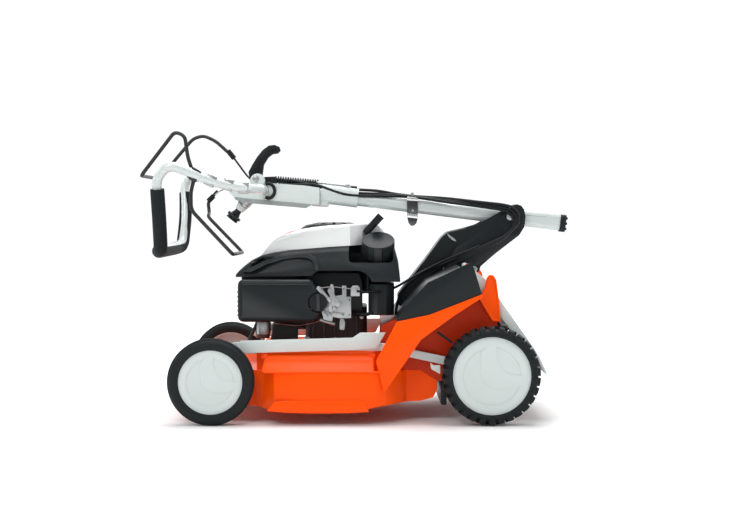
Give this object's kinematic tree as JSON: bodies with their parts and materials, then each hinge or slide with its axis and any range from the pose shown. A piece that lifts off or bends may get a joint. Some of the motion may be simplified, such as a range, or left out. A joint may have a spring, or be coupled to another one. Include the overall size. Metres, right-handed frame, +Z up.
{
  "type": "lawn mower",
  "caption": "Walk-behind petrol rotary mower with an orange deck, grass flap and a single-column handle folded forwards over the engine.",
  "frame": {"origin": "on the ground, in the middle of the folded mower's box", "axes": "+X to the mower's rear, +Y to its right-hand side, +Z up"},
  "size_m": [1.0362, 0.536, 0.6909],
  "materials": {
    "orange_paint": "gloss",
    "light_grey_plastic": "satin",
    "white_plastic": "gloss",
    "charcoal_plastic": "satin",
    "black_rubber": "matte",
    "tyre_rubber": "matte",
    "foam_grip": "soft",
    "silver_paint": "satin",
    "black_wire": "satin",
    "cast_aluminium": "rough",
    "zinc_steel": "zinc plated",
    "dark_steel": "matte",
    "chrome_steel": "polished"
  },
  "bodies": {
    "chassis": {"deck": "orange_paint", "rear_housing": "orange_paint", "fender_left": "orange_paint", "fender_right": "orange_paint", "catcher_hooks": "orange_paint", "side_rails": "light_grey_plastic", "top_cover": "white_plastic", "rear_cover": "charcoal_plastic", "bracket_plates": "charcoal_plastic", "blower_housing": "charcoal_plastic", "recoil_housing": "charcoal_plastic", "air_filter_box": "charcoal_plastic", "fuel_tank": "charcoal_plastic", "chassis_cables": "black_rubber", "drive_belt": "black_rubber", "spark_plug": "black_rubber", "engine_block": "cast_aluminium", "cylinder_head": "cast_aluminium", "gearbox": "cast_aluminium", "bracket_bolts": "zinc_steel", "carburettor": "zinc_steel", "control_plate": "zinc_steel", "muffler": "dark_steel"},
    "handle": {"handle_column": "silver_paint", "column_cap": "charcoal_plastic", "rope_clip": "chrome_steel", "handle_cables": "black_rubber", "handle_head": "light_grey_plastic", "handlebar": "silver_paint", "handle_grip": "foam_grip", "head_spring": "zinc_steel"},
    "stop_bail": {"stop_bail": "black_wire"},
    "drive_bail": {"drive_bail": "black_wire"},
    "speed_lever": {"speed_lever": "charcoal_plastic"},
    "lock_knob": {"lock_knob": "charcoal_plastic"},
    "cutter": {"crankshaft": "zinc_steel", "flywheel": "dark_steel", "blade_carrier": "dark_steel", "blade": "dark_steel", "blade_bolt": "zinc_steel"},
    "gearbox_pulley": {"gearbox_pulley": "dark_steel"},
    "drive_shaft": {"drive_shaft": "zinc_steel"},
    "rear_axle": {"rear_axle": "zinc_steel"},
    "front_axle": {"front_axle": "zinc_steel"},
    "tie_bar": {"height_tie_bar": "light_grey_plastic"},
    "rear_wheel_left": {"rear_tyre_left": "tyre_rubber", "rear_rim_left": "light_grey_plastic"},
    "rear_wheel_right": {"rear_tyre_right": "tyre_rubber", "rear_rim_right": "light_grey_plastic"},
    "pinion_left": {"pinion_left": "dark_steel"},
    "pinion_right": {"pinion_right": "dark_steel"},
    "front_wheel_left": {"front_tyre_left": "tyre_rubber", "front_rim_left": "light_grey_plastic"},
    "front_wheel_right": {"front_tyre_right": "tyre_rubber", "front_rim_right": "light_grey_plastic"},
    "rear_flap": {"rear_flap": "light_grey_plastic"},
    "fuel_cap": {"fuel_cap": "charcoal_plastic"},
    "filter_knob": {"filter_knob": "charcoal_plastic"},
    "throttle_lever": {"throttle_lever": "zinc_steel"},
    "starter_grip": {"starter_grip": "charcoal_plastic"}
  },
  "joints": [
    {"name": "handle_fold", "type": "hinge", "parent": "chassis", "child": "handle", "pos_m": [0.375, 0, 0.481], "axis": [0, 1, 0], "range_deg": [0, 135]},
    {"name": "stop_bail_squeeze", "type": "hinge", "parent": "handle", "child": "stop_bail", "pos_m": [-0.388, 0, 0.588], "axis": [0, -1, 0], "range_deg": [0, 45], "stiffness_Nm_per_rad": 0.6, "springref_deg": -20.05},
    {"name": "drive_bail_squeeze", "type": "hinge", "parent": "handle", "child": "drive_bail", "pos_m": [-0.384, 0, 0.57], "axis": [0, 1, 0], "range_deg": [0, 42], "stiffness_Nm_per_rad": 0.6, "springref_deg": -28.65},
    {"name": "speed_lever_tilt", "type": "hinge", "parent": "handle", "child": "speed_lever", "pos_m": [-0.246, 0, 0.568], "axis": [0, -1, 0], "range_deg": [0, 48]},
    {"name": "clamp_knob_turn", "type": "hinge", "parent": "handle", "child": "lock_knob", "pos_m": [-0.272, 0, 0.522], "axis": [-0.6293, 0, -0.7771], "range_deg": [0, 270]},
    {"name": "crankshaft_spin", "type": "hinge", "parent": "chassis", "child": "cutter", "pos_m": [-0.06, 0, 0.25], "axis": [0, 0, 1], "continuous": true},
    {"name": "gearbox_pulley_spin", "type": "hinge", "parent": "chassis", "child": "gearbox_pulley", "pos_m": [0.25, -0.158, 0.14], "axis": [0, 0, 1], "continuous": true},
    {"name": "drive_shaft_spin", "type": "hinge", "parent": "chassis", "child": "drive_shaft", "pos_m": [0.26459, 0, 0.08762], "axis": [0, 1, 0], "continuous": true},
    {"name": "height_adjust", "type": "hinge", "parent": "chassis", "child": "rear_axle", "pos_m": [0.26459, 0, 0.08762], "axis": [0, 1, 0], "range_deg": [0, 66]},
    {"name": "front_height_adjust", "type": "hinge", "parent": "chassis", "child": "front_axle", "pos_m": [-0.38342, 0, 0.07262], "axis": [0, 1, 0], "range_deg": [0, 66]},
    {"name": "tie_bar_pivot", "type": "hinge", "parent": "rear_axle", "child": "tie_bar", "pos_m": [0.23958, -0.2045, 0.13762], "axis": [0, 1, 0], "range_deg": [-66, 0]},
    {"name": "rear_wheel_left_spin", "type": "hinge", "parent": "rear_axle", "child": "rear_wheel_left", "pos_m": [0.312, -0.245, 0.115], "axis": [0, 1, 0], "continuous": true},
    {"name": "rear_wheel_right_spin", "type": "hinge", "parent": "rear_axle", "child": "rear_wheel_right", "pos_m": [0.312, 0.245, 0.115], "axis": [0, 1, 0], "continuous": true},
    {"name": "pinion_left_spin", "type": "hinge", "parent": "rear_axle", "child": "pinion_left", "pos_m": [0.26459, -0.232, 0.08762], "axis": [0, 1, 0], "continuous": true},
    {"name": "pinion_right_spin", "type": "hinge", "parent": "rear_axle", "child": "pinion_right", "pos_m": [0.26459, 0.232, 0.08762], "axis": [0, 1, 0], "continuous": true},
    {"name": "front_wheel_left_spin", "type": "hinge", "parent": "front_axle", "child": "front_wheel_left", "pos_m": [-0.336, -0.245, 0.1], "axis": [0, 1, 0], "continuous": true},
    {"name": "front_wheel_right_spin", "type": "hinge", "parent": "front_axle", "child": "front_wheel_right", "pos_m": [-0.336, 0.245, 0.1], "axis": [0, 1, 0], "continuous": true},
    {"name": "flap_lift", "type": "hinge", "parent": "chassis", "child": "rear_flap", "pos_m": [0.262, 0, 0.362], "axis": [0, -1, 0], "range_deg": [0, 50], "stiffness_Nm_per_rad": 0.8, "springref_deg": -34.38},
    {"name": "fuel_cap_turn", "type": "hinge", "parent": "chassis", "child": "fuel_cap", "pos_m": [0.052, -0.096, 0.4], "axis": [0, -0.5, 0.866], "range_deg": [0, 120]},
    {"name": "filter_knob_turn", "type": "hinge", "parent": "chassis", "child": "filter_knob", "pos_m": [-0.09, -0.17, 0.279], "axis": [0, 1, 0], "range_deg": [0, 90]},
    {"name": "throttle_turn", "type": "hinge", "parent": "chassis", "child": "throttle_lever", "pos_m": [-0.048, -0.166, 0.276], "axis": [0, 1, 0], "range_deg": [0, 40]},
    {"name": "starter_pull", "type": "slide", "parent": "chassis", "child": "starter_grip", "axis": [0.6691, 0, 0.7431], "range_m": [0, 0.45], "stiffness_N_per_m": 12, "springref_m": -0.4}
  ],
  "couplings": [
    {"joint": "front_height_adjust", "follows": "height_adjust", "ratio": 1},
    {"joint": "tie_bar_pivot", "follows": "height_adjust", "ratio": -1},
    {"joint": "gearbox_pulley_spin", "follows": "crankshaft_spin", "ratio": 0.88889},
    {"joint": "pinion_left_spin", "follows": "rear_wheel_left_spin", "ratio": 5.8667},
    {"joint": "pinion_right_spin", "follows": "rear_wheel_right_spin", "ratio": 5.8667}
  ]
}
